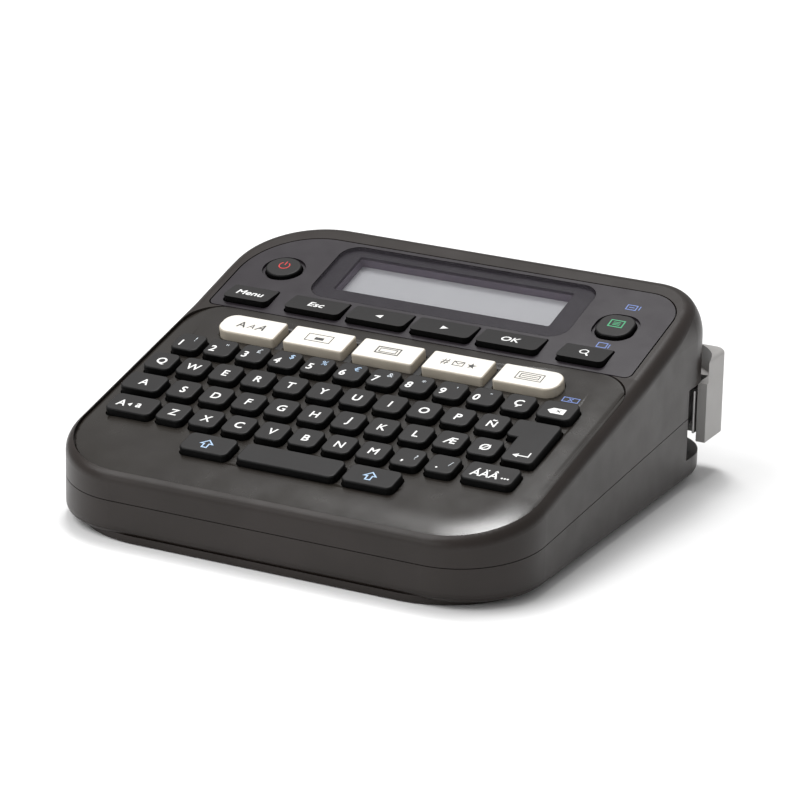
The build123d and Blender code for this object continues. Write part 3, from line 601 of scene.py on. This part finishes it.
def row_legends(row):
    node, main, second = ROWS[row]
    low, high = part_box(node)
    last_x = high.x - FLANGE_OUT - KEY_W / 2
    marks = []
    for n, letter in enumerate(main):
        x = last_x - KEY_PITCH * (len(main) - 1 - n)
        place, mark_place = (STOP_AT, STOP_MARK_AT) if letter in ",." else (DIGIT_AT, DIGIT_MARK_AT)
        if not second[n]:
            place = LETTER_AT
        marks.append(words(letter, LETTER, (x + place[0], place[1]), WHITE_INK))
        if second[n]:
            colour = PALE_BLUE_INK if second[n] in BLUISH_MARKS else PALE_INK
            at = (x + mark_place[0], mark_place[1])
            marks.append(words(second[n], SMALL_LETTER, at, colour, weight=0.0))
    if node == "home_letter_keys":
        wide_x = low.x + FLANGE_OUT + WIDE_A_W / 2
        marks.append(words("A", LETTER, (wide_x + LETTER_AT[0], LETTER_AT[1]), WHITE_INK))
    printed(f"{node}_legends", f"{node}_body", key_top(row_v(row), KEY_RISE), marks)


def shift_arrow(material):
    """Outlined arrow pointing up the slope."""
    half, stem, low, neck, tip = 1.9 * MM, 0.8 * MM, -1.8 * MM, 0.1 * MM, 2.0 * MM
    points = [(-stem, low), (stem, low), (stem, neck), (half, neck), (0, tip), (-half, neck), (-stem, neck)]
    return [path(points, (0, 0), material, closed=True)]


def enter_arrow():
    drop, rise, left, right = -0.6 * MM, 1.6 * MM, -2.1 * MM, 2.0 * MM
    reach, half = 0.9 * MM, 1.0 * MM
    head = [(left - reach, drop), (left + reach, drop + half), (left + reach, drop - half)]
    shaft = [(right, rise), (right, drop), (left, drop)]
    return [path(shaft, (0, 0), WHITE_INK), patch(head, (0, 0), WHITE_INK)]


def backspace_mark():
    tip, left, right, half = -2.9 * MM, -1.4 * MM, 2.7 * MM, 1.4 * MM
    tag = [(tip, 0), (left, half), (right, half), (right, -half), (left, -half)]
    marks = [patch(tag, (0, 0), WHITE_INK)]
    return marks + cross((0.7 * MM, 0), 0.7 * MM, DARK_INK)


def cross(at, half, material):
    return [path([(-half, -half), (half, half)], at, material, FINE_LINE),
            path([(-half, half), (half, -half)], at, material, FINE_LINE)]


def caps_mark():
    head = [(-0.8 * MM, 0), (0.5 * MM, 0.9 * MM), (0.5 * MM, -0.9 * MM)]
    return [words("A", LETTER, (-3.0 * MM, 0), WHITE_INK), patch(head, (-0.1 * MM, -0.2 * MM), WHITE_INK),
            words("a", LETTER, (2.8 * MM, 0), WHITE_INK)]


def accent_mark():
    return [words("ÁÄÂ", LETTER, (-1.4 * MM, 0), WHITE_INK),
            words("...", LETTER, (5.2 * MM, -1.0 * MM), WHITE_INK)]


SINGLE_MARKS = [
    ("backspace_key", 0, (0, -0.8 * MM), backspace_mark()),
    ("caps_key", 3, (-0.7 * MM, -0.5 * MM), caps_mark()),
    ("accent_key", 3, (0, -0.6 * MM), accent_mark()),
    ("left_shift_key", 4, (-0.4 * MM, -0.4 * MM), shift_arrow(PALE_BLUE_INK)),
    ("right_shift_key", 4, (-0.4 * MM, -0.4 * MM), shift_arrow(PALE_BLUE_INK)),
]
ENTER_MARK_AT = (2.6 * MM, -0.8 * MM)


def single_legends():
    for node, row, shift, marks in SINGLE_MARKS:
        across = Matrix.Translation((middle(node).x + shift[0], 0, 0))
        face = across @ key_top(row_v(row) + shift[1], KEY_RISE)
        printed(f"{node}_legend", f"{node}_body", face, marks)
    enter_x = middle("enter_key").x + ENTER_MARK_AT[0]
    face = Matrix.Translation((enter_x, 0, 0)) @ key_top(row_v(2) + ENTER_MARK_AT[1], KEY_RISE)
    printed("enter_key_legend", "enter_key_body", face, enter_arrow())


# ---- the five wide keys ----

def style_mark():
    return [words("A", LETTER, (-3.2 * MM, 0), DARK_INK),
            words("A", 3.4 * MM, (0.1 * MM, -0.2 * MM), DARK_INK, 0.3, 0.0),
            words("A", LETTER, (3.2 * MM, 0), DARK_INK, 0.4)]


def label_shape():
    return path(rectangle(8.4 * MM, 3.8 * MM), (0, 0), DARK_INK, FINE_LINE, closed=True)


def layout_mark():
    block = patch(rectangle(3.0 * MM, 1.4 * MM), (0.2 * MM, -0.3 * MM), DARK_INK)
    return [label_shape(), block]


def frame_mark():
    inner = path(rectangle(5.6 * MM, 1.9 * MM), (0, 0), DARK_INK, FINE_LINE, closed=True)
    shadow = path(rectangle(7.6 * MM, 3.4 * MM), (0, 0), DARK_INK, LINE, closed=True)
    return [inner, shadow]


def symbol_mark():
    star = []
    for n in range(10):
        radius = 1.6 * MM if n % 2 == 0 else 0.65 * MM
        angle = math.radians(90 + 36 * n)
        star.append((radius * math.cos(angle), radius * math.sin(angle)))
    flap = [(-1.5 * MM, 1.0 * MM), (0, -0.2 * MM), (1.5 * MM, 1.0 * MM)]
    return [words("#", LETTER, (-4.4 * MM, 0), DARK_INK, weight=0.0),
            path(rectangle(3.4 * MM, 2.2 * MM), (0, 0), DARK_INK, FINE_LINE, closed=True),
            path(flap, (0, 0), DARK_INK, FINE_LINE),
            patch(star, (4.4 * MM, 0), DARK_INK)]


def label_type_mark():
    inner = path(rectangle(6.2 * MM, 2.0 * MM), (0, 0), DARK_INK, FINE_LINE, closed=True)
    fill = path([(-2.6 * MM, 0), (2.6 * MM, 0)], (0, 0), DARK_INK, FINE_LINE)
    return [label_shape(), inner, fill]


FUNCTION_FIRST_X = -48.9 * MM
FUNCTION_PITCH = 23.65 * MM
FUNCTION_COUNT = 5
# Size of each black strip of painted shade between the wide keys.
FUNCTION_GAP_SHADE = (2.2 * MM, 10.2 * MM)


def function_gap_shade():
    """Black strips on the plate between the wide keys, which are painted shade in the gaps between them."""
    marks = []
    black = black_plastic()
    for n in range(FUNCTION_COUNT - 1):
        between_x = FUNCTION_FIRST_X + FUNCTION_PITCH * (n + 0.5)
        marks.append(patch(rectangle(*FUNCTION_GAP_SHADE), (between_x, 0), black))
    printed("function_gap_shade", "housing", key_top(FUNCTION_ROW_Y / math.cos(KEY_ANGLE), 0), marks)


def function_legends():
    marks = [("style_key", style_mark()), ("layout_key", layout_mark()), ("frame_key", frame_mark()),
             ("symbol_key", symbol_mark()), ("label_type_key", label_type_mark())]
    for node, drawing in marks:
        face = Matrix.Translation((middle(node).x, 0, 0)) @ key_top(key_v(FUNCTION_ROW_Y), FUNCTION_RISE)
        printed(f"{node}_legend", f"{node}_body", face, drawing)


# ---- the six keys in front of the display ----
UPPER_LETTER = 4.2 * MM
HANDLE_LINE = 0.6 * MM


def wedge_top(x):
    v = (display_v(UPPER_KEY_Y[0]), display_v(UPPER_KEY_Y[1]))
    run = v[1] - v[0] + 2 * WEDGE_OVERRUN
    fall = WEDGE_FRONT - WEDGE_BACK
    lie = Matrix.Translation((x, (v[0] + v[1]) / 2, (WEDGE_FRONT + WEDGE_BACK) / 2))
    return DISPLAY_FRAME @ lie @ Matrix.Rotation(-math.atan(fall / run), 4, "X")


def triangle(way):
    """Arrow head pointing right for a way of 1 and left for -1."""
    tip, base, half = way * 1.4 * MM, -way * 0.9 * MM, 1.2 * MM
    return patch([(tip, 0), (base, half), (base, -half)], (0, 0), WHITE_INK)


def magnifier():
    ring = path(arc(1.3 * MM, 0, 342), (-0.3 * MM, 0.7 * MM), WHITE_INK, closed=True)
    handle = path([(0.7 * MM, -0.4 * MM), (1.7 * MM, -1.8 * MM)], (0, 0), WHITE_INK, HANDLE_LINE)
    return [ring, handle]


def upper_legends():
    marks = [("menu_key", [words("Menu", UPPER_LETTER, (0, 0), WHITE_INK)]),
             ("escape_key", [words("Esc", UPPER_LETTER, (0, 0), WHITE_INK)]),
             ("left_key", [triangle(-1)]),
             ("right_key", [triangle(1)]),
             ("ok_key", [words("OK", UPPER_LETTER, (0, 0), WHITE_INK)]),
             ("preview_key", magnifier())]
    for node, drawing in marks:
        printed(f"{node}_legend", f"{node}_body", wedge_top(middle(node).x), drawing)


# ---- the two round buttons and the hints on the housing ----
POWER_LINE = 0.38 * MM
PRINT_LINE = 0.4 * MM
PRINT_HINT_AT = (57.0 * MM, 51.5 * MM)
PREVIEW_HINT_AT = (56.8 * MM, 30.9 * MM)
CLEAR_HINT_AT = (60.6 * MM, 0.9 * MM)


def power_mark():
    centre = (0, -0.2 * MM)
    ring = path(arc(1.7 * MM, 125, 415, 28), centre, RED_INK, POWER_LINE)
    stroke = path([(0, 0.3 * MM), (0, 2.2 * MM)], centre, RED_INK, POWER_LINE)
    return [ring, stroke]


def print_mark():
    half = 1.2 * MM
    lines = []
    for y in (-0.7 * MM, 0, 0.7 * MM):
        lines.append(path([(-half, y), (half, y)], (0, 0), GREEN_INK, FINE_LINE))
    page = path(rectangle(4.4 * MM, 3.4 * MM), (0, 0), GREEN_INK, PRINT_LINE, closed=True)
    return [page, *lines]


def button_legends():
    for node, drawing in (("power_button", power_mark()), ("print_button", print_mark())):
        v = display_v(middle(node).y)
        face = DISPLAY_FRAME @ Matrix.Translation((middle(node).x, v, BUTTON_RISE))
        printed(f"{node}_legend", f"{node}_body", face, drawing)


def blue_marks():
    """Three small blue hints printed on the housing near the keys that they belong to."""
    lifted = [path(rectangle(3.2 * MM, 2.4 * MM), (0, 0), BLUE_INK, FINE_LINE, closed=True),
              path([(-0.9 * MM, 0), (0.9 * MM, 0)], (0, 0), BLUE_INK, FINE_LINE),
              path([(2.6 * MM, -0.9 * MM), (2.6 * MM, 1.2 * MM)], (0, 0), BLUE_INK, FINE_LINE)]
    above_print = DISPLAY_FRAME @ Matrix.Translation((PRINT_HINT_AT[0], display_v(PRINT_HINT_AT[1]), 0))
    printed("print_hint", "housing", above_print, lifted)
    page = [path(rectangle(3.0 * MM, 2.4 * MM), (0, 0), BLUE_INK, FINE_LINE, closed=True),
            path([(2.3 * MM, -1.2 * MM), (2.3 * MM, 0.9 * MM)], (0, 0), BLUE_INK, FINE_LINE)]
    hint_v = display_v(PREVIEW_HINT_AT[1])
    beside_preview = DISPLAY_FRAME @ Matrix.Translation((PREVIEW_HINT_AT[0], hint_v, 0))
    printed("preview_hint", "housing", beside_preview, page)
    clear = [path(rectangle(5.0 * MM, 2.2 * MM), (0, 0), BLUE_INK, FINE_LINE, closed=True),
             *cross((0, 0), 0.7 * MM, BLUE_INK)]
    above_backspace = KEY_FRAME @ Matrix.Translation((CLEAR_HINT_AT[0], key_v(CLEAR_HINT_AT[1]), 0))
    printed("clear_hint", "housing", above_backspace, clear)


# ---------------------------------------------------------------- keyboard plate

PLATE_R = 24.0 * MM
PLATE_T = 2.2 * MM
ROLL_W = 11.0 * MM
ROLL_DROP = 1.0 * MM
ROLL_CUTS = 9
SHARP_ANGLE = math.radians(30)
SAME_POINT = 0.001 * MM


def edge_distance(x, y, low, high, radius):
    """Distance inwards from the front and side edges of a plan with round front corners."""
    side = min(x - low.x, high.x - x)
    front = y - low.y
    if side < radius and front < radius:
        return radius - math.hypot(radius - side, radius - front)
    return min(side, front)


def rolled_plate():
    """The keyboard plate with its front and side margins rolled gently down to the groove round it."""
    low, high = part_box("keyboard_plate")
    mesh = bmesh.new()
    mesh.from_mesh(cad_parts["keyboard_plate"].data)
    bmesh.ops.remove_doubles(mesh, verts=mesh.verts, dist=SAME_POINT)
    step = ROLL_W / ROLL_CUTS
    for n in range(1, 2 * ROLL_CUTS + 1):
        planes = [((low.x + n * step, 0, 0), (1, 0, 0)), ((high.x - n * step, 0, 0), (1, 0, 0)),
                  ((0, low.y + n * step, 0), (0, 1, 0))]
        for point, normal in planes:
            whole = mesh.verts[:] + mesh.edges[:] + mesh.faces[:]
            bmesh.ops.bisect_plane(mesh, geom=whole, plane_co=point, plane_no=normal, dist=SAME_POINT)
    into = KEY_FRAME.inverted()
    normal = (KEY_FRAME.to_3x3() @ Vector((0, 0, 1))).normalized()
    for vertex in mesh.verts:
        inwards = edge_distance(vertex.co.x, vertex.co.y, low, high, PLATE_R)
        share = max(0.0, 1.0 - max(inwards, 0.0) / ROLL_W) ** 2
        depth = min(1.0, max(0.0, 1.0 + (into @ vertex.co).z / PLATE_T))
        vertex.co -= normal * (ROLL_DROP * share * depth)
    plate = piece_from(mesh, "rolled_plate", [plate_plastic()])
    plate.data.set_sharp_from_angle(angle=SHARP_ANGLE)
    for face in plate.data.polygons:
        face.use_smooth = True
    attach(plate, "housing")
    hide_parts("keyboard_plate")


# ---------------------------------------------------------------- display

LENS_T = 1.2 * MM
MASK_GAP = 0.02 * MM
MASK_INSET = 0.1 * MM
LENS_R = 6.0 * MM
WINDOW_X = (-38.3 * MM, 36.0 * MM)
WINDOW_Y = (37.0 * MM, 55.4 * MM)
WINDOW_R = 0.8 * MM
MASK_END_GAP = LENS_T / 3
CORNER_STEPS = 8


def rounded_loop(low, high, radius):
    """Points round a rectangle with round corners, anticlockwise from its right edge."""
    points = []
    corners = [(high[0], high[1]), (low[0], high[1]), (low[0], low[1]), (high[0], low[1])]
    for n, (x, y) in enumerate(corners):
        centre = (x - math.copysign(radius, x - (low[0] + high[0]) / 2),
                  y - math.copysign(radius, y - (low[1] + high[1]) / 2))
        for px, py in arc(radius, 90 * n, 90 * n + 90, CORNER_STEPS):
            points.append((centre[0] + px, centre[1] + py))
    return points


def lens_mask():
    """Black border printed on the back of the lens, open over the display."""
    low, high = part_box("lcd_lens")
    v = [(DISPLAY_FRAME.inverted() @ Vector((0, *p))).y for p in ((low.y, low.z), (high.y, high.z))]
    front_left = (low.x + MASK_INSET, v[0] + MASK_END_GAP)
    back_right = (high.x - MASK_INSET, v[1] - MASK_END_GAP)
    outer = rounded_loop(front_left, back_right, LENS_R)
    window_v = [display_v(y) for y in WINDOW_Y]
    inner = rounded_loop((WINDOW_X[0], window_v[0]), (WINDOW_X[1], window_v[1]), WINDOW_R)
    count = len(outer)
    faces = [(n, (n + 1) % count, count + (n + 1) % count, count + n) for n in range(count)]
    face = DISPLAY_FRAME @ Matrix.Translation((0, 0, -LENS_T - MASK_GAP - INK_PROUD))
    border = moulded("mask_ink", (0.026, 0.022, 0.028), (0.030, 0.026, 0.032), (0.3, 0.4))
    printed("lens_mask", "housing", face, [(outer + inner, faces, border)])


# ---------------------------------------------------------------- open corner

CORNER_CENTRE = (59.5 * MM, 55.5 * MM)
CORNER_INNER_R = 15.7 * MM
NOTCH_FLOOR_X = 63.5 * MM
NOTCH_FLOOR_Y = 50.7 * MM
NOTCH_FLOOR_Z = 9.0 * MM
NOTCH_FLOOR_T = 1.0 * MM


def notch_floor():
    """Floor of the open corner, under the tape exit and the lever."""
    last = math.degrees(math.acos((NOTCH_FLOOR_X - CORNER_CENTRE[0]) / CORNER_INNER_R))
    curve = [(CORNER_CENTRE[0] + x, CORNER_CENTRE[1] + y) for x, y in arc(CORNER_INNER_R, 0, last)]
    plan = [(NOTCH_FLOOR_X, NOTCH_FLOOR_Y), (CORNER_CENTRE[0] + CORNER_INNER_R, NOTCH_FLOOR_Y), *curve]
    mesh = bmesh.new()
    mesh.faces.new([mesh.verts.new((x, y, NOTCH_FLOOR_Z - NOTCH_FLOOR_T)) for x, y in plan])
    thicken(mesh, NOTCH_FLOOR_T)
    floor = piece_from(mesh, "notch_floor", [black_plastic()])
    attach(floor, "housing")


# ---------------------------------------------------------------- room

FLOOR_HALF = 6.0
PAPER_GRAIN = 300.0
WORLD_STRENGTH = 0.44
# Softboxes: name, place, aim, size in metres, watts.
LIGHTS = [
    ("front_left", (-0.8, -0.7, 1.5), (0, 0, 0), (1.2, 1.2), 18.0),
    ("overhead", (-0.06, 0.3, 1.55), (0, 0, 0), (0.5, 0.5), 10.0),
    ("glint", (-0.38, 0.55, 1.55), (0, 0, 0), (0.35, 0.35), 8.0),
    ("front_low", (-0.5, -1.4, 0.5), (0, 0, 0.03), (1.0, 0.5), 3.0),
]


def make_floor():
    mesh = bmesh.new()
    bmesh.ops.create_grid(mesh, x_segments=1, y_segments=1, size=FLOOR_HALF)
    paper = moulded("floor_paper", (0.86, 0.86, 0.86), (0.88, 0.88, 0.88), (0.7, 0.8), PAPER_GRAIN)
    floor = piece_from(mesh, "floor", [paper])


def softbox(name, at, aim, size, power):
    data = bpy.data.lights.new(name, "AREA")
    data.shape = "RECTANGLE"
    data.size, data.size_y = size
    data.energy = power
    lamp = bpy.data.objects.new(name, data)
    lamp.location = at
    lamp.rotation_euler = (Vector(aim) - Vector(at)).to_track_quat("-Z", "Y").to_euler()
    bpy.context.scene.collection.objects.link(lamp)


def make_lights():
    world = bpy.data.worlds.new("studio")
    world.use_nodes = True
    background = world.node_tree.nodes["Background"]
    background.inputs["Color"].default_value = (1.0, 1.0, 1.0, 1)
    background.inputs["Strength"].default_value = WORLD_STRENGTH
    bpy.context.scene.world = world
    for light in LIGHTS:
        softbox(*light)
    bpy.context.scene.view_settings.view_transform = "Standard"


# ---------------------------------------------------------------- build

make_camera()
make_lights()
make_floor()
for finish, nodes in FINISHES:
    coat = finish()
    for node_name in nodes:
        paint(node_name, coat)
for row_number in range(len(ROWS)):
    row_legends(row_number)
single_legends()
function_legends()
upper_legends()
button_legends()
blue_marks()
lens_mask()
rolled_plate()
# Black strips of painted shade between the wide keys.
function_gap_shade()
notch_floor()
